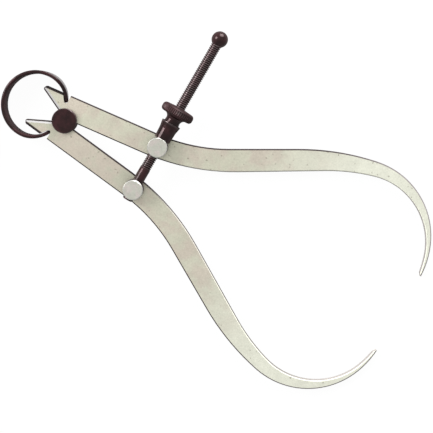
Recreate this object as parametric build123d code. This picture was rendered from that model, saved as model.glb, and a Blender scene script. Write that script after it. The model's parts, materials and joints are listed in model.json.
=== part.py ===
from build123d import *
import os
from math import acos, atan2, cos, degrees, radians, sin, sqrt, tan

# Spring outside caliper, 6 inch size, with its adjusting screw and knurled nut. Millimetres.
#
# The pieces are drawn flat, in the working frame: the fulcrum's axis is Z at x = y = 0, the
# middle plane of the legs is z = 0, the jaws point along +X and the upper leg is the one at +Y.
# The lower leg is its mirror image. At the end everything is set down as the caliper lies on a
# table, on the edge of its bow spring and on its two tips, with the origin at the centre of the
# fulcrum stud's back face.

# Legs
LEG_T = 3.0
LEG_BEVEL = 0.45
LEG_HEADING = 6.4
OUTER_OFFSET = 10.02
INNER_OFFSET = 0.75
# Each edge of a leg is straight runs and tangent bends, a bend as (radius, turn in degrees).
OUTER_STEPS = [34.7, (69.7, 23.65), 27.6, (98.9, -18.3), (31.3, -78.1), (35.2, -21.0)]
INNER_STEPS = [33.0, (90.7, 24.45), 34.3, (77.4, -14.7), (27.1, -88.7), (50.5, -6.7)]
GAUGING_POINT = (152.7, 17.0)
GAUGING_R = 0.15

# Tails of the legs, behind the fulcrum
TAIL_OUTER_X = -12.9
TAIL_INNER = (-13.6, 6.95)
TAIL_INNER_SLOPE = 25.7
TAIL_OUTER_R = 0.9
TAIL_INNER_R = 0.7
TAIL_BEVEL_W = 1.2
TAIL_BEVEL_T = 0.4

# Fulcrum stud, a spool that the legs ride on
CORE_R = 3.40
CORE_PLAY = 0.05
FLANGE_R = 4.93
FLANGE_T = 1.45
FLANGE_BEVEL = 0.3
FACE_PLAY = 0.05

# Bow spring, a strip bent round a back half circle and two tighter front arcs
STRIP_T = 1.4
STRIP_W = 9.4
BOW_X = -12.6
BOW_BACK_R = 12.85
BOW_FRONT_R = 10.3
BOW_END_ANGLE = 22.5
STRIP_BEVEL = 0.2
STRIP_END_R = 0.6
TAPER_LENGTH = 9.5
TAPER_END_W = 1.2
TAPER_POINTS = 7

# V notch in each leg for the spring's end
NOTCH_SEAT_ANGLE = 25.6
NOTCH_R = 0.8
NOTCH_MOUTH_LEFT = (-6.05, 9.34)
NOTCH_MOUTH_RIGHT = (-2.6, 9.6)
NOTCH_REACH = 6.0

# Swivel studs
STUD_RADIUS_FROM_FULCRUM = 38.1
STUD_ANGLE = 14.5
STUD_R = 3.93
STUD_TOP_Z = 9.0
STUD_BEVEL = 0.35
SHANK_R = 1.95
SHANK_PLAY = 0.05
PEEN_R = 2.8
PEEN_T = 0.55
PEEN_BEVEL = 0.25
SEAT_DISTANCE = 3.42
SEAT_R = 3.35
CROSS_HOLE_R = 2.25

# Adjusting screw, measured along it from the lower stud's centre
SCREW_Z = 5.5
SCREW_R = 2.085
SCREW_TAIL = 4.17
SCREW_TAIL_CHAMFER = 0.3
TENON_R = 1.5
TENON_L = 4.0
BALL_DISTANCE = 67.5
BALL_R = 3.2

# Thrust cone, measured from the upper stud's centre
CONE_SEAT_R = 3.2
CONE_WAIST = 8.0
CONE_WAIST_R = 3.45
CONE_RIM = 10.8
CONE_RIM_R = 3.9
CONE_LIP = 0.35
CUP_R = 3.25
CUP_DEPTH = 1.1
CUP_FLOOR_R = 2.45

# Adjusting nut, measured from the upper stud's centre
NOSE_PLAY = 0.06
NECK = 12.0
NECK_R = 2.95
FLANGE_BACK = 13.9
NUT_R = 6.65
NUT_RIM_R = 1.3
NUT_FRONT = 17.3
NUT_FRONT_RISE = 0.4
NUT_BORE_R = 2.135
KNURL_COUNT = 90
KNURL_DEPTH = 0.12
KNURL_VALLEY = 0.18
KNURL_MARGIN = 0.05


def edge_walk(offset, steps):
    """The edge of a leg from x = 0, with its straight runs and tangent bends."""
    edges = []
    point = Vector(0, offset)
    heading = LEG_HEADING
    for step in steps:
        if isinstance(step, tuple):
            radius, turn = step
            tangent = (cos(radians(heading)), sin(radians(heading)))
            edge = JernArc(point, tangent, radius, turn)
            heading += turn
        else:
            edge = PolarLine(point, step, heading)
        edges.append(edge)
        point = edge @ 1
    return edges


def tangent_point(corner, centre, radius, side):
    """Where the line from a corner touches a circle, on its left side (1) or right side (-1)."""
    to_centre = centre - Vector(*corner)
    reach = acos(radius / to_centre.length)
    angle = atan2(-to_centre.Y, -to_centre.X) - side * reach
    return centre + Vector(cos(angle), sin(angle)) * radius


def on_front_arc(angle):
    """A point of the strip's middle line on its upper front arc."""
    rise = BOW_BACK_R - BOW_FRONT_R
    x = BOW_X + BOW_FRONT_R * cos(radians(angle))
    return Vector(x, rise + BOW_FRONT_R * sin(radians(angle)))


def spring_notch():
    """V notch with a round bottom that the strip's round end sits in, cut through the outer edge."""
    centre = on_front_arc(NOTCH_SEAT_ANGLE)
    cutter = Pos(centre.X, centre.Y) * Circle(NOTCH_R)
    left = tangent_point(NOTCH_MOUTH_LEFT, centre, NOTCH_R, -1)
    right = tangent_point(NOTCH_MOUTH_RIGHT, centre, NOTCH_R, 1)
    left_far = left + (Vector(*NOTCH_MOUTH_LEFT) - left).normalized() * NOTCH_REACH
    right_far = right + (Vector(*NOTCH_MOUTH_RIGHT) - right).normalized() * NOTCH_REACH
    wedge = make_face(Polyline(centre, right, right_far, left_far, left, close=True))
    return cutter + wedge


def upper_leg():
    """The leg's outline, extruded, its edges bevelled, then cut for what it carries."""
    outer = edge_walk(OUTER_OFFSET, OUTER_STEPS)
    inner = edge_walk(INNER_OFFSET, INNER_STEPS)
    tip_start = inner[-1] @ 1
    tip = FilletPolyline(outer[-1] @ 1, GAUGING_POINT, tip_start, radius=GAUGING_R)
    tail_outer = (TAIL_OUTER_X, OUTER_OFFSET + TAIL_OUTER_X * tan(radians(LEG_HEADING)))
    tail_inner_y = TAIL_INNER[1] + TAIL_INNER[0] * tan(radians(TAIL_INNER_SLOPE))
    tail_points = [(0, OUTER_OFFSET), tail_outer, TAIL_INNER, (0, tail_inner_y)]
    tail = FilletPolyline(*tail_points, radius=[TAIL_OUTER_R, TAIL_INNER_R])
    root = Line((0, tail_inner_y), (0, INNER_OFFSET))
    outline = make_face([*outer, *tip.edges(), *inner, root, *tail.edges()])
    leg = extrude(outline, LEG_T / 2, both=True)
    rims = leg.edges().group_by(Axis.Z)
    bevelled = [edge for edge in rims[0] + rims[-1] if not on_tip(edge, tip_start)]
    leg = chamfer(bevelled, LEG_BEVEL) - tail_bevel(tail_inner_y)
    cuts = Circle(CORE_R + CORE_PLAY) + Pos(*stud_place(1)) * Circle(SHANK_R + SHANK_PLAY)
    return leg - extrude(cuts + spring_notch(), LEG_T, both=True)


def tail_bevel(tail_inner_y):
    """What a second, wider bevel takes off the tail's inner edge, on both faces."""
    length = 2 * abs(TAIL_INNER[0])
    slant = degrees(atan2(TAIL_BEVEL_T, TAIL_BEVEL_W))
    block = Pos(-length / 2, -length / 2, length / 2) * Box(length, length, length)
    block = Rot(slant, 0, 0) * Pos(0, TAIL_BEVEL_W * 2, 0) * block
    cut = Pos(0, tail_inner_y, LEG_T / 2 - TAIL_BEVEL_T) * Rot(0, 0, -TAIL_INNER_SLOPE) * block
    return cut + mirror(cut, Plane.XY)


def on_tip(edge, tip_start):
    """Whether an edge runs round the gauging tip, which is left as ground."""
    middle = edge @ 0.5
    return middle.X > tip_start.X and middle.Y < tip_start.Y


def stud_place(side):
    """Centre of a swivel stud, upper (1) or lower (-1)."""
    x = STUD_RADIUS_FROM_FULCRUM * cos(radians(STUD_ANGLE))
    y = STUD_RADIUS_FROM_FULCRUM * sin(radians(STUD_ANGLE))
    return (x, side * y)


def fulcrum_stud():
    """Spool: a core between two flanges with bevelled rims."""
    gap = LEG_T / 2 + FACE_PLAY
    core = Cylinder(CORE_R, 2 * gap)
    flange = Pos(0, 0, gap + FLANGE_T / 2) * Cylinder(FLANGE_R, FLANGE_T)
    flange = chamfer(flange.edges().group_by(Axis.Z)[-1], FLANGE_BEVEL)
    return core + flange + mirror(flange, Plane.XY)


def strip_edge(offset):
    """One side of the bent strip, seen along Z, at an offset from its middle line."""
    swing = 90 - BOW_END_ANGLE
    rise = BOW_BACK_R - BOW_FRONT_R
    upper = CenterArc((BOW_X, rise), BOW_FRONT_R + offset, BOW_END_ANGLE, swing)
    back = CenterArc((BOW_X, 0), BOW_BACK_R + offset, 90, 180)
    lower = CenterArc((BOW_X, -rise), BOW_FRONT_R + offset, 270, swing)
    return [upper, back, lower]


def taper_cut():
    """What is cut off above the strip's ends, seen along Y: a straight taper when unbent."""
    points = []
    for index in range(TAPER_POINTS):
        share = index / (TAPER_POINTS - 1)
        angle = radians(BOW_END_ANGLE) + share * TAPER_LENGTH / BOW_FRONT_R
        half_width = (TAPER_END_W + share * (STRIP_W - TAPER_END_W)) / 2
        points.append((BOW_X + BOW_FRONT_R * cos(angle), half_width))
    curve = Spline(*points)
    beyond = BOW_X + BOW_FRONT_R + STRIP_W
    top = STRIP_W
    frame = Polyline(points[-1], (points[-1][0], top), (beyond, top), (beyond, points[0][1]), points[0])
    area = Plane.XZ * make_face([curve, frame])
    return extrude(area, 2 * BOW_BACK_R, both=True)


def bow_spring():
    """Strip bent to an open ring, with bevelled edges and tapered, rounded ends."""
    outer = strip_edge(STRIP_T / 2)
    inner = strip_edge(-STRIP_T / 2)
    upper_end = Line(inner[0] @ 0, outer[0] @ 0)
    lower_end = Line(outer[-1] @ 1, inner[-1] @ 1)
    outline = make_face([*outer, *inner, upper_end, lower_end])
    ends = outline.vertices().sort_by(Axis.X)[-4:]
    strip = extrude(fillet(ends, STRIP_END_R), STRIP_W / 2, both=True)
    rims = strip.edges().group_by(Axis.Z)
    strip = chamfer(rims[0] + rims[-1], STRIP_BEVEL)
    cut = taper_cut()
    return strip - cut - mirror(cut, Plane.XY)


def stud_blank():
    """Stud without its cross hole: body, shank and peened end, on the Z axis."""
    seat_z = LEG_T / 2 + FACE_PLAY
    body = Pos(0, 0, (seat_z + STUD_TOP_Z) / 2) * Cylinder(STUD_R, STUD_TOP_Z - seat_z)
    body = chamfer(body.edges().group_by(Axis.Z)[-1], STUD_BEVEL)
    shank = Cylinder(SHANK_R, 2 * seat_z)
    peen = Pos(0, 0, -seat_z - PEEN_T / 2) * Cylinder(PEEN_R, PEEN_T)
    peen = chamfer(peen.edges().group_by(Axis.Z)[0], PEEN_BEVEL)
    return body + shank + peen


def on_screw(y):
    """Place on the screw's axis. A piece turned about X comes to lie along the screw, +Y."""
    return Pos(stud_place(1)[0], y, SCREW_Z) * Rot(0, 0, 90)


def rod(start, end, radius):
    """Cylinder about X between two distances."""
    return Pos((start + end) / 2, 0, 0) * Rot(0, 90, 0) * Cylinder(radius, end - start)


def turned(*points):
    """A piece turned about X from (distance, radius) points."""
    return revolve(make_face(Polyline(*points, close=True)), Axis.X)


def upper_swivel_stud():
    """Stud with a free cross hole and a spot-faced seat for the thrust cone."""
    x, y = stud_place(1)
    cut = rod(-2 * STUD_R, 2 * STUD_R, CROSS_HOLE_R) + rod(SEAT_DISTANCE, 2 * STUD_R, SEAT_R)
    return Pos(x, y, 0) * stud_blank() - on_screw(y) * cut


def lower_swivel_stud():
    """Stud pressed on the screw's plain shank."""
    x, y = stud_place(-1)
    return Pos(x, y, 0) * stud_blank() - on_screw(y) * rod(-2 * STUD_R, 2 * STUD_R, SCREW_R)


def screw_shoulder():
    """Where the screw ends under the ball: the ball's surface is as wide as the screw there."""
    return BALL_DISTANCE - sqrt(BALL_R**2 - SCREW_R**2)


def adjusting_screw():
    """Rod at the thread's outside diameter, with a chamfered tail and a tenon for the ball."""
    tail = -SCREW_TAIL
    shoulder = screw_shoulder()
    end = shoulder + TENON_L
    screw = turned((tail, 0), (tail, SCREW_R - SCREW_TAIL_CHAMFER),
                   (tail + SCREW_TAIL_CHAMFER, SCREW_R), (shoulder, SCREW_R),
                   (shoulder, TENON_R), (end, TENON_R), (end, 0))
    return on_screw(stud_place(-1)[1]) * screw


def screw_ball():
    """Ball with a flat and a blind hole where it sits on the screw."""
    shoulder = screw_shoulder()
    ball = Pos(BALL_DISTANCE, 0, 0) * Sphere(BALL_R)
    ball -= rod(shoulder - BALL_R, shoulder, BALL_R)
    ball -= rod(shoulder, shoulder + TENON_L, TENON_R)
    return on_screw(stud_place(-1)[1]) * ball


def thrust_cone():
    """Flared cup that bears on the upper stud's seat and takes the nut's nose."""
    cup_floor = CONE_RIM - CUP_DEPTH
    cone = turned((SEAT_DISTANCE, CROSS_HOLE_R), (SEAT_DISTANCE, CONE_SEAT_R),
                  (CONE_WAIST, CONE_WAIST_R), (CONE_RIM - CONE_LIP, CONE_RIM_R),
                  (CONE_RIM, CONE_RIM_R), (CONE_RIM, CUP_R), (cup_floor, CUP_FLOOR_R),
                  (cup_floor, CROSS_HOLE_R))
    return on_screw(stud_place(1)[1]) * cone


def knurled_band(start, end):
    """Straight ridges all round the nut's rim, from one distance to another, as a ring."""
    corners = []
    for index in range(2 * KNURL_COUNT):
        radius = NUT_R - KNURL_VALLEY * (index % 2)
        angle = radians(index * 180 / KNURL_COUNT)
        corners.append((radius * cos(angle), radius * sin(angle)))
    star = make_face(Polyline(*corners, close=True)) - Circle(NUT_R - NUT_RIM_R)
    return Pos(start, 0, 0) * Rot(0, 90, 0) * extrude(star, end - start)


def adjusting_nut():
    """Nose, waisted neck, and a flange with a rounded, knurled rim and a slightly coned front."""
    nose_start = CONE_RIM - CUP_DEPTH + NOSE_PLAY
    nose_r = CUP_FLOOR_R - NOSE_PLAY
    nose_end_r = nose_r + (CONE_RIM - nose_start) * (CUP_R - CUP_FLOOR_R) / CUP_DEPTH
    sweep_end_r = NECK_R + FLANGE_BACK - NECK
    band_r = NUT_R - KNURL_DEPTH
    flat_r = band_r - NUT_RIM_R
    rim_start = FLANGE_BACK + NUT_RIM_R
    rim_end = NUT_FRONT - NUT_RIM_R
    nose = Polyline((nose_start, NUT_BORE_R), (nose_start, nose_r), (CONE_RIM, nose_end_r),
                    (NECK, NECK_R))
    sweep = TangentArc((NECK, NECK_R), (FLANGE_BACK, sweep_end_r), tangent=(1, 0))
    back = Line((FLANGE_BACK, sweep_end_r), (FLANGE_BACK, flat_r))
    back_rim = TangentArc((FLANGE_BACK, flat_r), (rim_start, band_r), tangent=(0, 1))
    band = Line((rim_start, band_r), (rim_end, band_r))
    front_rim = TangentArc((rim_end, band_r), (NUT_FRONT, flat_r), tangent=(1, 0))
    front = Polyline((NUT_FRONT, flat_r), (NUT_FRONT + NUT_FRONT_RISE, NUT_BORE_R),
                     (nose_start, NUT_BORE_R))
    nut = revolve(make_face([nose, sweep, back, back_rim, band, front_rim, front]), Axis.X)
    nut += knurled_band(rim_start + KNURL_MARGIN, rim_end - KNURL_MARGIN)
    return on_screw(stud_place(1)[1]) * nut


def resting_place():
    """How the caliper lies: tilted about Y so that the bow's edge and the tips touch the table."""
    taper_angle = radians(BOW_END_ANGLE) + TAPER_LENGTH / BOW_FRONT_R
    contact_x = BOW_X + (BOW_FRONT_R + STRIP_T / 2 - STRIP_BEVEL) * cos(taper_angle)
    tip_x = GAUGING_POINT[0]
    pitch = degrees(atan2((STRIP_W - LEG_T) / 2, tip_x - contact_x))
    back_face_z = -(LEG_T / 2 + FACE_PLAY + FLANGE_T)
    print("pitch", round(pitch, 4), "degrees, back face z", back_face_z)
    return Rot(0, pitch, 0) * Pos(0, 0, -back_face_z)


def main():
    leg = upper_leg()
    pieces = {
        "upper_leg": leg,
        "lower_leg": mirror(leg, Plane.XZ),
        "fulcrum_stud": fulcrum_stud(),
        "bow_spring": bow_spring(),
        "upper_swivel_stud": upper_swivel_stud(),
        "lower_swivel_stud": lower_swivel_stud(),
        "adjusting_screw": adjusting_screw(),
        "screw_ball": screw_ball(),
        "thrust_cone": thrust_cone(),
        "adjusting_nut": adjusting_nut(),
    }
    os.makedirs("parts", exist_ok=True)
    place = resting_place()
    for name, piece in pieces.items():
        export_step(place * piece, f"parts/{name}.step")


if __name__ == "__main__":
    main()
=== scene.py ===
# %% [markdown]
# The outside caliper. The imported CAD model gives every rigid piece at its real size, so this
# script adds what the solids leave out: the thread on the adjusting screw, a bow spring made as two
# halves, the finish of each surface, and a camera and light for the picture.
#
# Everything is in metres, in the frame of the CAD model. Nothing is moved or resized to fit.

# %% Load the frame
import json
from math import atan2, cos, degrees, hypot, pi, radians, sin, sqrt

import bmesh
import bpy
from mathutils import Matrix, Vector


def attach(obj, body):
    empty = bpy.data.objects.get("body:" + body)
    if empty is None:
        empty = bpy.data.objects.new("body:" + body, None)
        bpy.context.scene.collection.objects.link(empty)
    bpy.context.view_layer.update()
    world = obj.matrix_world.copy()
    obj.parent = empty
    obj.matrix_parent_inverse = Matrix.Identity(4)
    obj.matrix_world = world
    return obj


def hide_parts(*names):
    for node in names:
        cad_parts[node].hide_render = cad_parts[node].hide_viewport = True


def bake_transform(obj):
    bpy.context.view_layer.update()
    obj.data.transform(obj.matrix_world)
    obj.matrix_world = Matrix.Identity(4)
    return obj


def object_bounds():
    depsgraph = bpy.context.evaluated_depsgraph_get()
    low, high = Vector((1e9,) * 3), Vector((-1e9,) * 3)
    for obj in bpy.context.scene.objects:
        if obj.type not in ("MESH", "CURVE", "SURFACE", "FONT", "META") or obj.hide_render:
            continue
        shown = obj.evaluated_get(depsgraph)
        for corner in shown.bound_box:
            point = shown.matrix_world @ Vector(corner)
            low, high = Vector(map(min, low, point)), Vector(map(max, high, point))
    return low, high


MM = 0.001
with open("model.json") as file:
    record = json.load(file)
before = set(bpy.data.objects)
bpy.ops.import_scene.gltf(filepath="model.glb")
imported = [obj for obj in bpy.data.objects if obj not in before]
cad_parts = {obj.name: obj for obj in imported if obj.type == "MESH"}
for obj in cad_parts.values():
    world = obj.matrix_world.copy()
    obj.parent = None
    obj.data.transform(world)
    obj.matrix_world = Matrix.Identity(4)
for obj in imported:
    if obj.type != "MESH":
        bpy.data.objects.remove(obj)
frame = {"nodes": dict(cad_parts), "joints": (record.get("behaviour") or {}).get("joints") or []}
cad_low, cad_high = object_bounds()
print("CAD box in mm", [round(size / MM, 1) for size in cad_high - cad_low])

# %% [markdown]
# The caliper lies on the edge of its bow spring and on its two tips, so its legs slope down by
# about a degree. A piece is easier to make flat and in millimetres, with the fulcrum's axis at
# x = y = 0 and the legs' middle plane at z = 0. One matrix then lays it in place. Its slope and
# its origin come from the leg's hinge, which the frame gives.

# %% The flat working frame
SCREW_HEIGHT = 5.5
joints = {joint["name"]: joint for joint in frame["joints"]}
hinge = joints["upper_leg_hinge"]
slope = atan2(hinge["axis"][0], hinge["axis"][2])
tilt = Matrix.Rotation(slope, 4, "Y")
flat_place = Matrix.Translation(hinge["pos_m"]) @ tilt @ Matrix.Scale(MM, 4)


def flat(x, y, z=0.0):
    """A point given flat and in mm, as a point of the frame."""
    return flat_place @ Vector((x, y, z))


def joint_place(name):
    """Where a joint's pivot is, flat and in mm."""
    return flat_place.inverted() @ Vector(joints[name]["pos_m"])


def on_screw(stud):
    """Lays a piece that is turned about X along the screw, measured from a stud's centre."""
    centre = Matrix.Translation((stud.x, stud.y, SCREW_HEIGHT))
    return flat_place @ centre @ Matrix.Rotation(pi / 2, 4, "Z")


lower_stud = joint_place("lower_stud_swivel")
upper_stud = joint_place("upper_stud_swivel")
print("slope in degrees", round(degrees(slope), 3))
print("lower stud in mm", [round(value, 2) for value in lower_stud])

# %% [markdown]
# Every new piece goes through the same steps once its shape is made: its doubles are merged, its
# faces are turned outwards, it is laid in place, and its edges are smooth where they are shallow
# and sharp where they are not. The place goes into the mesh and not on the object, as it does for
# the CAD pieces, so that a joint can move them all alike.

# %% Turn a bmesh into a finished piece
DOUBLES = 1e-4
SHARP_ANGLE = radians(32)


def finish_piece(name, shape, place):
    """An object with its place in its mesh. Edges sharper than SHARP_ANGLE stay sharp."""
    bmesh.ops.remove_doubles(shape, verts=shape.verts, dist=DOUBLES)
    bmesh.ops.recalc_face_normals(shape, faces=shape.faces)
    bmesh.ops.transform(shape, matrix=place, verts=shape.verts)
    for face in shape.faces:
        face.smooth = True
    for edge in shape.edges:
        edge.smooth = edge.is_manifold and edge.calc_face_angle() < SHARP_ANGLE
    open_edges = sum(not edge.is_manifold for edge in shape.edges)
    mesh = bpy.data.meshes.new(name)
    shape.to_mesh(mesh)
    shape.free()
    piece = bpy.data.objects.new(name, mesh)
    bpy.context.scene.collection.objects.link(piece)
    print(name, len(mesh.polygons), "faces,", open_edges, "open edges")
    return piece


# %% [markdown]
# The adjusting screw is a rod with 32 threads to the inch. A plain shank is left at the end that
# is held in the lower stud, and the thread fades out there, as a die leaves it. A bump map would
# look right from afar, but its outline would stay straight, so the thread is a real mesh.
#
# One profile of the thread is drawn along the rod and spun a full turn, and each step also slides
# it along a little. After the turn it has gone exactly one pitch, so it meets the next groove of
# the first profile, and merging the doubles closes the helix. The flanks stand at 30 degrees to
# the square, as on every common thread. The crests are broader and the grooves shallower than a
# full thread's, because the real screw's outline looks nearly straight.

# %% The thread
INCH = 25.4
PITCH = INCH / 32
THREAD_DEPTH = 0.45 * PITCH
CREST = PITCH / 4
TANGENT_30 = 0.57735
FLANK = THREAD_DEPTH * TANGENT_30
SCREW_R = 2.085
THREAD_START = 9.0
THREAD_FADE = 1.6
SCREW_END = 65.07
TURN_STEPS = 40
CLOSE = 1e-3
ON_THE_CUT = 1e-5


def thread_profile(shape, start, end):
    """The edge of the thread along x, from before start to past end, as a chain of edges."""
    verts = []
    x = start - 2 * PITCH
    while x < end + 2 * PITCH:
        for along, sunk in ((0, 0), (CREST, 0), (CREST + FLANK, 1), (PITCH - FLANK, 1)):
            verts.append(shape.verts.new((x + along, 0, SCREW_R - THREAD_DEPTH * sunk)))
        x += PITCH
    for before, after in zip(verts, verts[1:]):
        shape.edges.new((before, after))


def fade(x):
    """How much of the thread's depth is left at x, from 0 on the shank to 1."""
    share_start = (x - THREAD_START) / THREAD_FADE
    share_end = (SCREW_END - x) / (PITCH / 2)
    share = max(0.0, min(1.0, share_start, share_end))
    return share * share * (3 - 2 * share)


def turned_thread():
    """The threaded stretch alone, open at both ends."""
    shape = bmesh.new()
    thread_profile(shape, THREAD_START, SCREW_END)
    step = (PITCH / TURN_STEPS, 0, 0)
    bmesh.ops.spin(shape, geom=shape.verts[:] + shape.edges[:], cent=(0, 0, 0), axis=(1, 0, 0),
                   dvec=step, angle=2 * pi, steps=TURN_STEPS, use_merge=False)
    bmesh.ops.remove_doubles(shape, verts=shape.verts, dist=CLOSE)
    for vert in shape.verts:
        reach = hypot(vert.co.y, vert.co.z)
        grown = SCREW_R - (SCREW_R - reach) * fade(vert.co.x)
        vert.co.yz = vert.co.yz * (grown / reach)
    for x, outward in ((THREAD_START, -1), (SCREW_END, 1)):
        geometry = shape.verts[:] + shape.edges[:] + shape.faces[:]
        bmesh.ops.bisect_plane(shape, geom=geometry, dist=ON_THE_CUT, plane_co=(x, 0, 0),
                               plane_no=(outward, 0, 0), clear_outer=True)
    return shape


thread = turned_thread()
print("thread", len(thread.faces), "faces, depth", round(THREAD_DEPTH, 3), "mm")

# %% [markdown]
# The ends of the rod grow out of the thread's two open rims. Each rim is extruded and moved to
# the next shoulder, again and again: along the plain shank to its chamfered tail on one side, and
# into the ball on the other. The last ring is closed with a fan of faces. Separate cylinders
# would do as well, but they would have to overlap the thread, and this way the screw is one
# closed surface.

# %% The plain ends of the screw
TAIL = -4.6
TAIL_CHAMFER = 0.3
TENON_R = 1.5
TENON_L = 3.9


def grow_end(shape, x, steps):
    """Extrudes the open rim at x through a list of (distance, radius) and closes it."""
    rim = [edge for edge in shape.edges
           if edge.is_boundary and abs(edge.verts[0].co.x - x) < CLOSE]
    for distance, radius in steps:
        made = bmesh.ops.extrude_edge_only(shape, edges=rim)["geom"]
        rim = [item for item in made if isinstance(item, bmesh.types.BMEdge)]
        for vert in {vert for edge in rim for vert in edge.verts}:
            reach = hypot(vert.co.y, vert.co.z)
            vert.co = (distance, vert.co.y * radius / reach, vert.co.z * radius / reach)
    middle = shape.verts.new((steps[-1][0], 0, 0))
    for edge in rim:
        shape.faces.new((*edge.verts, middle))


grow_end(thread, THREAD_START, [(TAIL + TAIL_CHAMFER, SCREW_R), (TAIL, SCREW_R - TAIL_CHAMFER)])
grow_end(thread, SCREW_END, [(SCREW_END, TENON_R), (SCREW_END + TENON_L, TENON_R)])
threaded_screw = finish_piece("threaded_screw", thread, on_screw(lower_stud))
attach(threaded_screw, "lower_swivel")
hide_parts("adjusting_screw")

# %% [markdown]
# The adjusting nut is turned in one piece: a nose that sits in the cone, a waisted neck, and a
# flange with a rounded rim. A wheel presses straight knurling into the rim. The solids hold a
# finer, flatter one, so the nut is made again here with the coarse ridges that a thumb feels.
#
# The profile starts as a few sharp corners. A bevel rounds some of them, and a full spin turns the
# profile into the blank, in steps fine enough for the ridges. Then every point of the rim that
# stands above the groove at its angle is pushed down on to it. On the rounded rim the grooves run
# out by themselves, as they do under the wheel.

# %% The adjusting nut
NUT_R = 6.65
NUT_BORE_R = 2.135
NECK_R = 2.95
NUT_CORNERS = ((9.76, NUT_BORE_R), (9.76, 2.39), (10.8, 3.15), (12.0, NECK_R), (13.9, NECK_R),
               (13.9, NUT_R), (17.3, NUT_R), (17.7, NUT_BORE_R))
NUT_ROUNDS = {2: 0.15, 4: 1.85, 5: 1.3, 6: 1.3}
ROUND_SEGMENTS = 9
KNURLS = 48
KNURL_DEPTH = 0.24
STEPS_PER_KNURL = 8


def nut_blank():
    """The nut before it is knurled, turned about X."""
    shape = bmesh.new()
    corners = [shape.verts.new((along, 0, reach)) for along, reach in NUT_CORNERS]
    shape.faces.new(corners)
    for index, offset in NUT_ROUNDS.items():
        bmesh.ops.bevel(shape, geom=[corners[index]], offset=offset, offset_type="OFFSET",
                        segments=ROUND_SEGMENTS, profile=0.5, affect="VERTICES", material=-1)
    bmesh.ops.delete(shape, geom=shape.faces[:], context="FACES_ONLY")
    bmesh.ops.spin(shape, geom=shape.verts[:] + shape.edges[:], cent=(0, 0, 0), axis=(1, 0, 0),
                   angle=2 * pi, steps=KNURLS * STEPS_PER_KNURL, use_merge=True)
    return shape


def knurl(shape):
    """Presses straight V grooves into what stands highest."""
    for vert in shape.verts:
        reach = hypot(vert.co.y, vert.co.z)
        phase = atan2(vert.co.z, vert.co.y) / (2 * pi) * KNURLS
        groove = 2 * abs(phase - round(phase))
        floor_r = NUT_R - KNURL_DEPTH * groove
        if reach > floor_r:
            vert.co.yz = vert.co.yz * (floor_r / reach)


nut = nut_blank()
knurl(nut)
knurled_nut = finish_piece("knurled_nut", nut, on_screw(upper_stud))
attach(knurled_nut, "nut")
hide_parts("adjusting_nut")

# %% [markdown]
# The bow spring is a strip bent to an open ring, with its ends cut to a taper. It is the one piece
# that changes shape: its ends move with the legs and its back stays with the fulcrum. A mesh can
# bend between two bodies, and there are three here, so the ring is made as two halves that meet at
# the middle of its back, where neither bends.
#
# The strip is drawn out of flat wire, so its long edges are well rounded, and light runs along
# them. Each half is a rounded rectangle spun round the back and then round the tighter front.
# Towards the end each ring of the mesh is made narrower for the taper, and over the last bit also
# thinner, for the round nose that sits in the leg's notch.

# %% The bow spring
STRIP_T = 1.4
STRIP_W = 9.4
STRIP_EDGE_R = 0.60
STRIP_EDGE_SEGMENTS = 6
BOW_X = -12.6
BOW_BACK_R = 12.85
BOW_FRONT_R = 10.3
BOW_END = radians(22.5)
TAPER_L = 9.5
TAPER_END_W = 1.2
NOSE_R = 0.6
BACK_STEPS = 36
FRONT_STEPS = 30
NOSE_STEPS = 6
bow_rise = BOW_BACK_R - BOW_FRONT_R
front_centre = Vector((BOW_X, bow_rise, 0))


def strip_section(shape):
    """The strip's section at the middle of the back, with rounded corners."""
    bmesh.ops.create_grid(shape, x_segments=1, y_segments=1, size=0.5)
    bmesh.ops.scale(shape, vec=(STRIP_T, STRIP_W, 1), verts=shape.verts)
    bmesh.ops.bevel(shape, geom=shape.verts[:], offset=STRIP_EDGE_R, offset_type="OFFSET",
                    segments=STRIP_EDGE_SEGMENTS, profile=0.5, affect="VERTICES", material=-1)
    bmesh.ops.rotate(shape, matrix=Matrix.Rotation(pi / 2, 3, "X"), verts=shape.verts)
    bmesh.ops.translate(shape, vec=(BOW_X - BOW_BACK_R, 0, 0), verts=shape.verts)
    return shape.verts[:] + shape.edges[:] + shape.faces[:]


def bow_half():
    """The half of the ring at +Y, closed at both ends."""
    shape = bmesh.new()
    last = strip_section(shape)
    nose_angle = NOSE_R / BOW_FRONT_R
    for centre, angle, steps in ((Vector((BOW_X, 0, 0)), pi / 2, BACK_STEPS),
                                 (front_centre, pi / 2 - BOW_END - nose_angle, FRONT_STEPS),
                                 (front_centre, nose_angle, NOSE_STEPS)):
        last = bmesh.ops.spin(shape, geom=last, cent=centre, axis=(0, 0, 1), angle=-angle,
                              steps=steps)["geom_last"]
    for vert in shape.verts:
        from_centre = vert.co.xy - front_centre.xy
        to_end = (atan2(from_centre.y, from_centre.x) - BOW_END) * BOW_FRONT_R
        if vert.co.x > BOW_X and to_end < TAPER_L:
            share = max(0.0, to_end) / TAPER_L
            vert.co.z *= (TAPER_END_W + share * (STRIP_W - TAPER_END_W)) / STRIP_W
        if vert.co.x > BOW_X and to_end < NOSE_R:
            rounded = NOSE_R - sqrt(NOSE_R**2 - (NOSE_R - max(0.0, to_end)) ** 2)
            reach = from_centre.length
            thinner = BOW_FRONT_R + (reach - BOW_FRONT_R) * (1 - 2 * rounded / STRIP_T)
            vert.co.xy = front_centre.xy + from_centre * (thinner / reach)
    return shape


bow_halves = []
for side, name, leg in ((1, "bow_spring_upper", "upper_leg"),
                        (-1, "bow_spring_lower", "lower_leg")):
    half = bow_half()
    bmesh.ops.scale(half, vec=(1, side, 1), verts=half.verts)
    piece = finish_piece(name, half, flat_place)
    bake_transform(piece)
    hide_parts("bow_spring")
    bow_halves.append(piece)

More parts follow.
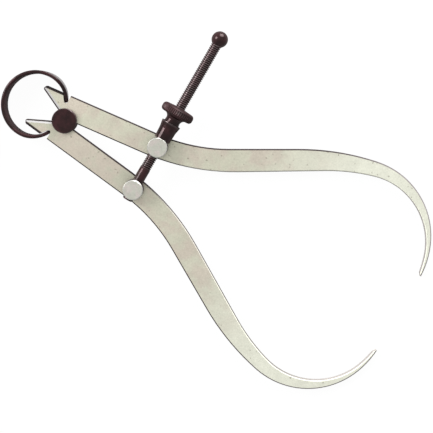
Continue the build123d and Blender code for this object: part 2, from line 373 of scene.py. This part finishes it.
# %% [markdown]
# Materials are made of nodes. A node tree is easier to read as a few small functions, one for
# each kind of node, that take sockets or plain values and give back a socket. Every mask below is
# a Map Range node: it turns a span of some value into a soft step.

# %% Helpers for node trees


def feed(tree, socket, value):
    """Links a socket, or sets it to a plain value."""
    if isinstance(value, bpy.types.NodeSocket):
        tree.links.new(value, socket)
    else:
        socket.default_value = value


def maths(tree, operation, *values):
    node = tree.nodes.new("ShaderNodeMath")
    node.operation = operation
    for socket, value in zip(node.inputs, values):
        feed(tree, socket, value)
    return node.outputs[0]


def vector_maths(tree, operation, first, second=None, output="Vector"):
    node = tree.nodes.new("ShaderNodeVectorMath")
    node.operation = operation
    feed(tree, node.inputs[0], first)
    if second is not None:
        feed(tree, node.inputs["Scale" if operation == "SCALE" else 1], second)
    return node.outputs[output]


def between(tree, value, low, high, out_low=0.0, out_high=1.0):
    """The value's place between low and high, eased, as a number between the two outputs."""
    node = tree.nodes.new("ShaderNodeMapRange")
    node.interpolation_type = "SMOOTHSTEP"
    for name, number in zip(("Value", "From Min", "From Max", "To Min", "To Max"),
                            (value, low, high, out_low, out_high)):
        feed(tree, node.inputs[name], number)
    return node.outputs["Result"]


def over(tree, length, span, out_low=0.0, out_high=1.0):
    """The same for a length, whose span is given in mm."""
    return between(tree, length, span[0] * MM, span[1] * MM, out_low, out_high)


def mixed(tree, factor, first, second):
    """One colour turning into another as factor goes from 0 to 1."""
    node = tree.nodes.new("ShaderNodeMix")
    node.data_type = "RGBA"
    for socket, value in zip((node.inputs[0], node.inputs[6], node.inputs[7]),
                             (factor, first, second)):
        feed(tree, socket, value)
    return node.outputs[2]


def noise(tree, vector, scale, detail=3.0, roughness=0.55):
    node = tree.nodes.new("ShaderNodeTexNoise")
    feed(tree, node.inputs["Vector"], vector)
    for name, number in (("Scale", scale), ("Detail", detail), ("Roughness", roughness)):
        feed(tree, node.inputs[name], number)
    return node.outputs["Fac"]


def object_point(tree, output="Object"):
    return tree.nodes.new("ShaderNodeTexCoord").outputs[output]


def split(tree, vector):
    node = tree.nodes.new("ShaderNodeSeparateXYZ")
    feed(tree, node.inputs[0], vector)
    return node.outputs


print("materials before dressing", len(bpy.data.materials))

# %% [markdown]
# What several finishes share goes into a node group. It is made once, with its own sockets, and
# placed in each material with its own numbers, so a change to it shows on every piece.

# %% Helpers for node groups


def new_group(name, inputs, outputs):
    """An empty node group with float or colour or vector sockets."""
    tree = bpy.data.node_groups.new(name, "ShaderNodeTree")
    for socket, kind in outputs:
        tree.interface.new_socket(name=socket, in_out="OUTPUT", socket_type="NodeSocket" + kind)
    for socket, kind, default in inputs:
        made = tree.interface.new_socket(name=socket, in_out="INPUT",
                                         socket_type="NodeSocket" + kind)
        made.default_value = default
    group_in = tree.nodes.new("NodeGroupInput").outputs
    group_out = tree.nodes.new("NodeGroupOutput").inputs
    print("group", name)
    return tree, group_in, group_out


def use_group(tree, group, **values):
    """Places a group in a material and feeds its inputs. Spaces in a name are written as _."""
    node = tree.nodes.new("ShaderNodeGroup")
    node.node_tree = group
    for name, value in values.items():
        feed(tree, node.inputs[name.replace("_", " ")], value)
    return node.outputs


# %% [markdown]
# The legs are ground bright on their two faces. Their bevelled edges and their sides are left rough
# and not metallic, and painted dark as painted shade, so a dark line runs along each side. A mask
# for it can be painted, or it can be read from the surface's own direction: how far it turns away
# from straight up or down. That way the line follows every curve of the outline, and it also fills
# the sides. What leans a little, but not enough to be dark, gets a painted highlight on its rim.

# %% Effect: painted shade on the edges, painted highlight on the rims
LEVEL = 0.998
edge_tree, edge_in, edge_out = new_group(
    "painted_edge_shade_and_rim_highlight",
    [("Bright Above", "Float", 0.93), ("Dark Below", "Float", 0.80)],
    [("Edge", "Float"), ("Painted Rim Highlight", "Float")])
upright = maths(edge_tree, "ABSOLUTE", split(edge_tree, object_point(edge_tree, "Normal"))[2])
edge_mask = between(edge_tree, upright, edge_in["Dark Below"], edge_in["Bright Above"], 1.0, 0.0)
leaning = between(edge_tree, upright, edge_in["Bright Above"], LEVEL, 1.0, 0.0)
# Edge is where the painted shade goes, and the rim output is where a painted highlight goes.
feed(edge_tree, edge_out["Edge"], edge_mask)
feed(edge_tree, edge_out["Painted Rim Highlight"],
     maths(edge_tree, "MULTIPLY", leaning, maths(edge_tree, "SUBTRACT", 1.0, edge_mask)))

# %% [markdown]
# Ground steel is never one flat tone. It has a cloudy mottling a few millimetres wide, some of it
# a little warmer than the rest, a fine grain, and here and there a dark speck where the surface is
# pitted. A picture of steel would show all that too, but it would blur up close and need a layout
# for each piece, so noise on the object's own coordinates does it. Its scales are in features to
# the metre. The group puts out a tone to multiply the colour with, the warm patches and the specks
# as masks, and a height for the bump.

# %% Effect: ground steel
GRAIN_SCALE = 1500.0
PIT_SCALE = 650.0
WARM_TO_CLOUD = 0.7
ground_tree, ground_in, ground_out = new_group(
    "ground_steel",
    [("Patch Scale", "Float", 130.0), ("Cloud Amount", "Float", 0.10),
     ("Grain Amount", "Float", 0.05)],
    [("Tone", "Float"), ("Warm", "Float"), ("Specks", "Float"), ("Height", "Float")])


def swing(value, amount):
    """A noise value as a change of tone, up and down by half the amount."""
    half_below = maths(ground_tree, "MULTIPLY", amount, -0.5)
    return maths(ground_tree, "MULTIPLY_ADD", value, amount, half_below)


where = object_point(ground_tree)
cloud = noise(ground_tree, where, ground_in["Patch Scale"], 5.0, 0.65)
warm_scale = maths(ground_tree, "MULTIPLY", ground_in["Patch Scale"], WARM_TO_CLOUD)
warm = noise(ground_tree, where, warm_scale, 4.0, 0.6)
grain = noise(ground_tree, where, GRAIN_SCALE, 3.0, 0.7)
pits = noise(ground_tree, where, PIT_SCALE, 1.0)
change = maths(ground_tree, "ADD", swing(cloud, ground_in["Cloud Amount"]),
               swing(grain, ground_in["Grain Amount"]))
feed(ground_tree, ground_out["Tone"], maths(ground_tree, "ADD", 1.0, change))
feed(ground_tree, ground_out["Warm"], between(ground_tree, warm, 0.42, 0.62))
feed(ground_tree, ground_out["Specks"], between(ground_tree, pits, 0.70, 0.76))
feed(ground_tree, ground_out["Height"], maths(ground_tree, "SUBTRACT", grain, pits))

# %% [markdown]
# The ring, the fulcrum stud, the screw, the nut and the cone are blackened steel. It is brown-black
# with a warmer cast that wanders over the surface, and where hands and turning have rubbed it, the
# steel shows through as a lighter grey. The same lighter grey, on crests and rims, is also a
# painted highlight. One plain dark colour would look like plastic. Two close browns, mixed by
# noise, and a finish that is never quite even make it metal.

# %% Effect: blackened steel
BROWN_BLACK = (0.012, 0.006, 0.006, 1)
RED_BROWN = (0.026, 0.010, 0.011, 1)
RUBBED_AND_HIGHLIGHT = (0.42, 0.36, 0.36, 1)
OXIDE_ROUGHNESS = (0.20, 0.28)
black_tree, black_in, black_out = new_group(
    "blackened_steel",
    [("Wear", "Float", 0.0)],
    [("Color", "Color"), ("Roughness", "Float"), ("Height", "Float")])
where = object_point(black_tree)
patches = noise(black_tree, where, 300.0, 4.0)
fine = noise(black_tree, where, 1800.0, 3.0)
oxide = mixed(black_tree, between(black_tree, patches, 0.35, 0.65), BROWN_BLACK, RED_BROWN)
uneven_wear_and_highlight = maths(black_tree, "MULTIPLY", black_in["Wear"],
                    between(black_tree, fine, 0.3, 0.7, 0.6, 1.0))
# The lighter grey is wear and a painted highlight on crests and rims.
feed(black_tree, black_out["Color"], mixed(black_tree, uneven_wear_and_highlight, oxide, RUBBED_AND_HIGHLIGHT))
feed(black_tree, black_out["Roughness"], between(black_tree, fine, 0.3, 0.7, *OXIDE_ROUGHNESS))
feed(black_tree, black_out["Height"], fine)

# %% [markdown]
# Turned pieces are worn and marked by their distance from their own axis: the crests of a thread or
# a knurl and the rims are painted lighter, as wear and as a painted highlight, and their grooves
# stay dark. This group gives that distance, from a centre and along an axis that each material
# sets, and the fine rings that the lathe's tool leaves.

# %% Effect: distance from a turned piece's axis
RING_SCALE = 5000.0
turned_tree, turned_in, turned_out = new_group(
    "turned_piece",
    [("Centre", "Vector", (0, 0, 0)), ("Axis", "Vector", (0, 0, 1))],
    [("Radius", "Float"), ("Along", "Float"), ("Rings", "Float")])
from_centre = vector_maths(turned_tree, "SUBTRACT", object_point(turned_tree), turned_in["Centre"])
along = vector_maths(turned_tree, "DOT_PRODUCT", from_centre, turned_in["Axis"], "Value")
on_axis = vector_maths(turned_tree, "SCALE", turned_in["Axis"], along)
off_axis = vector_maths(turned_tree, "SUBTRACT", from_centre, on_axis)
radius = vector_maths(turned_tree, "LENGTH", off_axis, output="Value")
ring_point = turned_tree.nodes.new("ShaderNodeCombineXYZ")
feed(turned_tree, ring_point.inputs[0], radius)
feed(turned_tree, ring_point.inputs[1], along)
feed(turned_tree, turned_out["Radius"], radius)
feed(turned_tree, turned_out["Along"], along)
feed(turned_tree, turned_out["Rings"], noise(turned_tree, ring_point.outputs[0], RING_SCALE, 2.0))

# %% [markdown]
# Each material is one Principled shader. These helpers make it, hand back its tree and its
# sockets, and give it to pieces, so that each finish below is only its colours, its masks and its
# bump. A piece from the CAD model keeps its mesh, and only its material slots are filled anew.

# %% A new material


def new_material(name, specular):
    material = bpy.data.materials.new(name)
    material.use_nodes = True
    shader = material.node_tree.nodes["Principled BSDF"]
    shader.inputs["Specular IOR Level"].default_value = specular
    return material, material.node_tree, shader.inputs


def bumped(tree, height, distance):
    node = tree.nodes.new("ShaderNodeBump")
    feed(tree, node.inputs["Height"], height)
    node.inputs["Distance"].default_value = distance
    return node.outputs[0]


def toned(tree, colour, tone):
    """A colour made lighter or darker by a factor."""
    return vector_maths(tree, "SCALE", colour, tone)


def dress(material, *pieces):
    """Gives pieces this one material, CAD nodes by name and new pieces as objects."""
    for piece in pieces:
        if isinstance(piece, str):
            for slot in frame["nodes"][piece].material_slots:
                slot.material = material
        else:
            piece.data.materials.append(material)
    print(material.name, "on", len(pieces), "pieces")


print("slots on a leg", len(frame["nodes"]["upper_leg"].material_slots))

# %% [markdown]
# The legs: warm, light grey steel. They grow lighter towards the tips, and the painted shade on the
# edges fades on the way. The dark edge, unpolished steel with painted shade on it, has no metallic
# reflection either, or it would mirror the white floor and disappear.
#
# Two materials could do, one for the faces and one for the edges, but their border would be as
# hard as the mesh. So both legs share one, with masks. Its nodes read the point that they colour,
# whose x is its distance from the fulcrum, and a change along the leg is a span of x in mm.

# %% The material of the legs
LIGHTER_SPAN = (62, 118)
leg_steel, tree, leg = new_material("leg_steel_ground", specular=0.25)
ground = use_group(tree, ground_tree, Patch_Scale=170.0, Cloud_Amount=0.32, Grain_Amount=0.40)
edges = use_group(tree, edge_tree, Bright_Above=0.93, Dark_Below=0.80)
spot = split(tree, object_point(tree))
facing = split(tree, object_point(tree, "Normal"))
to_tip = over(tree, spot[0], LIGHTER_SPAN)
print("the legs grow lighter over", LIGHTER_SPAN, "mm")

# %% [markdown]
# The dark edge isn't the same all along. Behind the spring's notch it is a broad black band on the
# outside of the tail, a painted reflection of the dark inside of the ring, measured square to the
# tail's own heading, and on the tail's inside only the lowest part of the wide bevel is dark, as
# painted shade. Both legs are mirror images, so a place is given by how far it is from the middle
# line, on either side, and a height by how far it is from the middle plane.

# %% Where the legs' edges are dark
TAIL_HEADING = radians(6.4)
TAIL_BAND_SPAN = (8.86, 9.06)
NOTCH_SPAN = (-3.1, -2.6)
BEVEL_FOOT_SPAN = (1.23, 1.33)

away = maths(tree, "ABSOLUTE", spot[1])
across = maths(tree, "SUBTRACT", maths(tree, "MULTIPLY", away, cos(TAIL_HEADING)),
               maths(tree, "MULTIPLY", spot[0], sin(TAIL_HEADING)))
# Painted reflection of the ring's dark inside, on the outer edge of the tail.
painted_tail_reflection = maths(tree, "MULTIPLY", over(tree, across, TAIL_BAND_SPAN),
                  over(tree, spot[0], NOTCH_SPAN, 1.0, 0.0))
height = use_group(tree, turned_tree, Centre=hinge["pos_m"], Axis=hinge["axis"])["Along"]
from_plane = maths(tree, "ABSOLUTE", height)
# Painted shade on the lowest part of the bevel.
painted_foot_shade = over(tree, from_plane, BEVEL_FOOT_SPAN, 1.0, 0.0)
dark_edge = maths(tree, "MAXIMUM", maths(tree, "MAXIMUM", edges["Edge"], painted_tail_reflection), painted_foot_shade)
print("nodes for the dark edges", len(tree.nodes))

# %% [markdown]
# Past the studs the edges that look into the jaws get a lighter painted reflection. Only their
# upper bevel does: the wall below it stays dark, as painted shade, and draws a thin line that parts
# the leg from the white paper. Whether an edge looks into the jaws is read from its direction, away
# from the middle line and a little towards the tips.

# %% Where the legs' edges get a painted reflection
TOWARDS_TIPS = 0.5
LOOKS_IN = (-0.2, 0.0)
EDGE_REFLECTION_SPAN = (36, 60)
UPPER_BEVEL_SPAN = (1.20, 1.30)
WALL_REFLECTION = 0.1

from_middle_line = maths(tree, "MULTIPLY", facing[1], maths(tree, "SIGN", spot[1]))
outward = maths(tree, "MULTIPLY_ADD", facing[0], TOWARDS_TIPS, from_middle_line)
looks_in = between(tree, outward, *LOOKS_IN, 1.0, 0.0)
past_studs = over(tree, spot[0], EDGE_REFLECTION_SPAN)
upper_bevel = over(tree, from_plane, UPPER_BEVEL_SPAN, WALL_REFLECTION, 1.0)
# Painted reflection on the inner edges past the studs.
painted_edge_reflection = maths(tree, "MULTIPLY", looks_in, maths(tree, "MULTIPLY", past_studs, upper_bevel))
# The span of the painted reflection on the inner edges.
print("edges rubbed over", EDGE_REFLECTION_SPAN, "mm")

# %% [markdown]
# Then the colours go on in layers: the face with its warm patches and specks, a painted reflection
# on the rim of the tail's bevel, and the edges last, with their painted shade and painted
# reflection. The lower leg is a little duller between the fulcrum and its stud.

# %% Colours of the legs
NEAR_HEAD = (0.480, 0.474, 0.380, 1)
NEAR_TIP = (0.655, 0.660, 0.563, 1)
WARM_PATCH = (0.470, 0.400, 0.345, 1)
# The edge colours are painted shade: nearly black near the head, a grey near the tip.
SHADED_EDGE_NEAR_HEAD = (0.016, 0.010, 0.010, 1)
SHADED_EDGE_NEAR_TIP = (0.190, 0.170, 0.170, 1)
TAIL_RIM_REFLECTION = (0.46, 0.45, 0.47, 1)
INNER_EDGE_REFLECTION = (0.48, 0.46, 0.41, 1)
SPECK = (0.16, 0.14, 0.11, 1)
LOWER_SIDE_SPAN = (-1, 1)
ROOT_SPAN = (28, 48)
ROOT_TONE = 0.86
WARM_SHARE = 0.6
SPECK_SHARE = 0.5
EDGE_FADE_SPAN = (90, 150)

lower_root = maths(tree, "MULTIPLY", over(tree, spot[1], LOWER_SIDE_SPAN, 1.0, 0.0),
                   over(tree, spot[0], ROOT_SPAN, 1.0, 0.0))
root_tone = between(tree, lower_root, 0.0, 1.0, 1.0, ROOT_TONE)
face_colour = toned(tree, mixed(tree, to_tip, NEAR_HEAD, NEAR_TIP), root_tone)
warmth = maths(tree, "MULTIPLY", ground["Warm"], between(tree, to_tip, 0, 1, WARM_SHARE, 0.0))
warmed = toned(tree, mixed(tree, warmth, face_colour, WARM_PATCH), ground["Tone"])
specked = mixed(tree, maths(tree, "MULTIPLY", ground["Specks"], SPECK_SHARE), warmed, SPECK)
# Painted reflection on the rims of the bevels.
rimmed = mixed(tree, edges["Painted Rim Highlight"], specked, TAIL_RIM_REFLECTION)
edge_to_tip = over(tree, spot[0], EDGE_FADE_SPAN)
# Painted shade on the edges, fading towards the tips.
shaded_edge_colour = mixed(tree, edge_to_tip, SHADED_EDGE_NEAR_HEAD, SHADED_EDGE_NEAR_TIP)
# Colour of the painted reflection on the inner edges.
inner_reflection_colour = mixed(tree, to_tip, INNER_EDGE_REFLECTION, NEAR_TIP)
edge_colour = mixed(tree, painted_edge_reflection, shaded_edge_colour, inner_reflection_colour)
feed(tree, leg["Base Color"], mixed(tree, dark_edge, rimmed, edge_colour))
print("nodes with the colours", len(tree.nodes))

# %% [markdown]
# The same mask of the dark edge turns the metal off and the roughness up. The grain also lifts the
# surface by a few thousandths of a millimetre, which is enough to break up a reflection.

# %% Surface of the legs
BARE_METALLIC = 0.85
LEG_ROUGHNESS = (0.36, 0.85)
GRAIN_HEIGHT = 0.004
feed(tree, leg["Metallic"], between(tree, dark_edge, 0.0, 1.0, BARE_METALLIC, 0.0))
feed(tree, leg["Roughness"], between(tree, dark_edge, 0.0, 1.0, *LEG_ROUGHNESS))
feed(tree, leg["Normal"], bumped(tree, ground["Height"], GRAIN_HEIGHT * MM))
dress(leg_steel, "upper_leg", "lower_leg")

# %% [markdown]
# The swivel studs are turned from the same steel, a little cooler. The bevel round the top is
# polished and has a painted highlight, and the side below it is painted dark as painted shade. The
# groups for ground steel and for the painted edge shade and rim highlight do this too, with other
# numbers. Each stud needs a material of its own, because the lathe's rings run round its own
# centre.

# %% Finish of the swivel studs
STUD_FACE = (0.405, 0.408, 0.357, 1)
STUD_WARM = (0.480, 0.405, 0.395, 1)
STUD_RIM_HIGHLIGHT = (0.42, 0.42, 0.39, 1)
STUD_SIDE_SHADE = (0.030, 0.022, 0.022, 1)
STUD_WARM_SHARE = 0.5
STUD_ROUGHNESS = (0.38, 0.80)
STUD_HEIGHT = 0.002

for name, swivel in (("upper_swivel_stud", "upper_stud_swivel"),
                     ("lower_swivel_stud", "lower_stud_swivel")):
    stud_steel, tree, stud = new_material(name + "_turned", specular=0.25)
    place = joints[swivel]
    around = use_group(tree, turned_tree, Centre=place["pos_m"], Axis=place["axis"])
    ground = use_group(tree, ground_tree, Patch_Scale=500.0, Cloud_Amount=0.35, Grain_Amount=0.35)
    edges = use_group(tree, edge_tree, Bright_Above=0.66, Dark_Below=0.30)
    warmth = maths(tree, "MULTIPLY", ground["Warm"], STUD_WARM_SHARE)
    face = toned(tree, mixed(tree, warmth, STUD_FACE, STUD_WARM), ground["Tone"])
    # Painted highlight on the bevel, painted shade on the side.
    rimmed = mixed(tree, edges["Painted Rim Highlight"], face, STUD_RIM_HIGHLIGHT)
    feed(tree, stud["Base Color"], mixed(tree, edges["Edge"], rimmed, STUD_SIDE_SHADE))
    feed(tree, stud["Metallic"], between(tree, edges["Edge"], 0.0, 1.0, BARE_METALLIC, 0.0))
    feed(tree, stud["Roughness"], between(tree, edges["Edge"], 0.0, 1.0, *STUD_ROUGHNESS))
    height = maths(tree, "ADD", around["Rings"], ground["Height"])
    feed(tree, stud["Normal"], bumped(tree, height, STUD_HEIGHT * MM))
    dress(stud_steel, name)

# %% [markdown]
# The blackened pieces share one effect and differ in where they are worn and carry a painted
# highlight, and where they are dull or polished. The oxide is thin, so it is partly metallic, and a
# dark tint keeps its sides from mirroring the white room. For the same reason a surface grows
# rougher where it is seen edge-on. The ring would lose the light that runs along its outside that
# way, so on the ring it is the inner wall that is rough.

# %% Finish of the blackened pieces
UP_THE_SCREW = (0, 1, 0)
OXIDE_METALLIC = 0.25
OXIDE_TINT = (0.62, 0.56, 0.56, 1)
OXIDE_HEIGHT = 0.006
GLANCING_ROUGHNESS = 0.6
GLANCING_SPAN = (0.35, 0.85)
INNER_WALL_SPAN = (-5, 0)
screw_centre = on_screw(lower_stud).translation


def by_radius(tree, around, limits):
    """Grows from 0 at one radius to an amount at another. limits gives them in that order."""
    start, full, amount = limits
    return over(tree, around["Radius"], (start, full), 0.0, amount)


def extra_roughness(tree, ring_centre):
    """Where blackened steel is rougher: inside a ring, and elsewhere where seen edge-on."""
    if ring_centre is None:
        glancing = tree.nodes.new("ShaderNodeLayerWeight").outputs["Facing"]
        return between(tree, glancing, *GLANCING_SPAN, 0.0, GLANCING_ROUGHNESS)
    from_middle = vector_maths(tree, "SUBTRACT", object_point(tree), ring_centre)
    outward = vector_maths(tree, "DOT_PRODUCT", object_point(tree, "Normal"), from_middle,
                           "Value")
    return over(tree, outward, INNER_WALL_SPAN, GLANCING_ROUGHNESS, 0.0)


def blackened(name, worn_and_highlight=None, rings=0.0, centre=screw_centre, axis=UP_THE_SCREW, past=None,
              ring_centre=None, dull=None, polish=0.0):
    """Blackened steel. worn_and_highlight is (radius where the wear and painted highlight start,
    radius where they are full, amount), and past is how far along the axis it begins. dull is like
    worn_and_highlight, for roughness, and polish takes roughness off all over. rings is how deep
    the lathe's rings are."""
    material, tree, shader = new_material(name, specular=0.30)
    shader["Metallic"].default_value = OXIDE_METALLIC
    shader["Specular Tint"].default_value = OXIDE_TINT
    around = use_group(tree, turned_tree, Centre=centre, Axis=axis)
    wear_and_highlight = by_radius(tree, around, worn_and_highlight) if worn_and_highlight else 0.0
    if past:
        begun = over(tree, around["Along"], (past, past + THREAD_FADE))
        wear_and_highlight = maths(tree, "MULTIPLY", wear_and_highlight, begun)
    black = use_group(tree, black_tree, Wear=wear_and_highlight)
    rougher = extra_roughness(tree, ring_centre)
    if dull:
        rougher = maths(tree, "ADD", rougher, by_radius(tree, around, dull))
    rougher = maths(tree, "SUBTRACT", rougher, polish)
    height = maths(tree, "MULTIPLY_ADD", around["Rings"], rings, black["Height"])
    feed(tree, shader["Base Color"], black["Color"])
    feed(tree, shader["Roughness"], maths(tree, "ADD", black["Roughness"], rougher))
    feed(tree, shader["Normal"], bumped(tree, height, OXIDE_HEIGHT * MM))
    return material


# The worn radii below are wear and also a painted highlight on the rims and crests.
dress(blackened("fulcrum_black", (4.5, 4.9, 0.12), 1.0, hinge["pos_m"], hinge["axis"]),
      "fulcrum_stud")
dress(blackened("spring_black", ring_centre=flat(BOW_X, 0)), *bow_halves)
dress(blackened("screw_black", (2.02, 2.08, 0.20), past=THREAD_START), threaded_screw)
dress(blackened("ball_black", rings=0.5, polish=0.04), "screw_ball")
dress(blackened("cone_black", (3.8, 3.9, 0.10), 0.3, polish=0.10), "thrust_cone")
dress(blackened("nut_black", (6.58, 6.65, 0.11), 0.3, dull=(3.4, 4.6, 0.34), polish=0.12),
      knurled_nut)

# %% [markdown]
# The photograph was taken from above, a little beside the middle, with the caliper turned so that
# its jaws point down to the right, and it was cropped afterwards. The lean of the camera and a
# small shift of the frame stand for that crop.

# %% The camera
PHOTO_PIXELS = 433
SENSOR = 36.0
FOCAL_PIXELS = 1214.0
CROP_SHIFT = (-8, -50)
NEAREST = 0.01
CAMERA_SPOT = (54.59, 40.02, 481.0)
CAMERA_TURN = 0.526
LEAN_RIGHT = -0.0092
LEAN_DOWN = 0.0529
UP = Vector((0, 0, 1))
camera_data = bpy.data.cameras.new("camera")
camera_data.sensor_width = SENSOR
camera_data.lens = FOCAL_PIXELS * SENSOR / PHOTO_PIXELS
camera_data.shift_x = CROP_SHIFT[0] / PHOTO_PIXELS
camera_data.shift_y = CROP_SHIFT[1] / PHOTO_PIXELS
camera_data.clip_start = NEAREST
camera = bpy.data.objects.new("camera", camera_data)
right = Vector((cos(CAMERA_TURN), sin(CAMERA_TURN), 0))
down = Vector((sin(CAMERA_TURN), -cos(CAMERA_TURN), 0))
look = (-UP + LEAN_RIGHT * right + LEAN_DOWN * down).normalized()
right = (right - right.dot(look) * look).normalized()
up = right.cross(look)
camera_turn = Matrix((right, up, -look)).transposed().to_4x4()
camera.matrix_world = Matrix.Translation(Vector(CAMERA_SPOT) * MM) @ camera_turn
bpy.context.scene.collection.objects.link(camera)
bpy.context.scene.camera = camera
print("lens in mm", round(camera_data.lens, 1))

# %% [markdown]
# The background is plain white paper. A lit floor would come out grey in places, so the floor and
# the world show a white of strength 1 to the camera and to reflections, and give a softer light to
# the object. The floor keeps a share of its own shading, so the object still has its shadow.

# %% Floor and world
FLOOR_HALF = 0.6
FLOOR_MIDDLE_X = 0.07
FLOOR_GLOW = 0.97
PAPER = (0.9, 0.9, 0.9, 1)
WHITE = (1, 1, 1, 1)
ROOM_LIGHT = 0.4
scene = bpy.context.scene
scene.view_settings.view_transform = "Standard"

floor_shape = bmesh.new()
bmesh.ops.create_grid(floor_shape, x_segments=1, y_segments=1, size=FLOOR_HALF)
bmesh.ops.translate(floor_shape, vec=(FLOOR_MIDDLE_X, 0, cad_low.z), verts=floor_shape.verts)
floor_mesh = bpy.data.meshes.new("floor")
floor_shape.to_mesh(floor_mesh)
floor_shape.free()
floor = bpy.data.objects.new("floor", floor_mesh)
scene.collection.objects.link(floor)


def seen_directly(tree):
    """1 for rays from the camera, and for what polished metal or glass shows."""
    path = tree.nodes.new("ShaderNodeLightPath")
    both = maths(tree, "MAXIMUM", path.outputs["Is Camera Ray"], path.outputs["Is Glossy Ray"])
    return maths(tree, "MAXIMUM", both, path.outputs["Is Transmission Ray"])


floor_paint = bpy.data.materials.new("floor_white")
floor_paint.use_nodes = True
tree = floor_paint.node_tree
tree.nodes.clear()
paper = tree.nodes.new("ShaderNodeBsdfDiffuse")
paper.inputs["Color"].default_value = PAPER
glow = tree.nodes.new("ShaderNodeEmission")
glow.inputs["Strength"].default_value = 1.0
lit_floor = tree.nodes.new("ShaderNodeMixShader")
feed(tree, lit_floor.inputs[0], maths(tree, "MULTIPLY", seen_directly(tree), FLOOR_GLOW))
tree.links.new(paper.outputs[0], lit_floor.inputs[1])
tree.links.new(glow.outputs[0], lit_floor.inputs[2])
tree.links.new(lit_floor.outputs[0], tree.nodes.new("ShaderNodeOutputMaterial").inputs[0])
floor_mesh.materials.append(floor_paint)

world = bpy.data.worlds.new("studio")
world.use_nodes = True
scene.world = world
tree = world.node_tree
background = tree.nodes["Background"]
background.inputs["Color"].default_value = WHITE
feed(tree, background.inputs["Strength"],
     between(tree, seen_directly(tree), 0, 1, ROOM_LIGHT, 1.0))
print("floor at z", round(cad_low.z / MM, 2), "mm")

# %% [markdown]
# Two round lamps stand low beside the caliper, as the picture has them: one to the left, which
# draws a line down each turned piece, and a larger one above, which runs along the ring. Low lamps
# leave the ground faces of the legs plain. Each is given by its bearing in the picture, its height
# above the table in degrees, its size in metres and its power.

# %% Lamps
LAMP_DISTANCE = 1.0
LAMPS = (("key", 152, 36, 0.55, 15.0), ("top", 65, 22, 0.75, 22.0))


def area_lamp(name, place, target, size, power):
    data = bpy.data.lights.new(name, "AREA")
    data.shape = "DISK"
    data.size = size
    data.energy = power
    lamp = bpy.data.objects.new(name, data)
    lamp.location = place
    lamp.rotation_euler = (Vector(target) - Vector(place)).to_track_quat("-Z", "Y").to_euler()
    scene.collection.objects.link(lamp)


middle = (cad_low + cad_high) / 2
for name, bearing, height, size, power in LAMPS:
    flat_way = cos(radians(bearing)) * right + sin(radians(bearing)) * up
    way = cos(radians(height)) * flat_way + sin(radians(height)) * UP
    area_lamp(name, middle + LAMP_DISTANCE * way, middle, size, power)
    print("lamp", name, "of", power, "W")
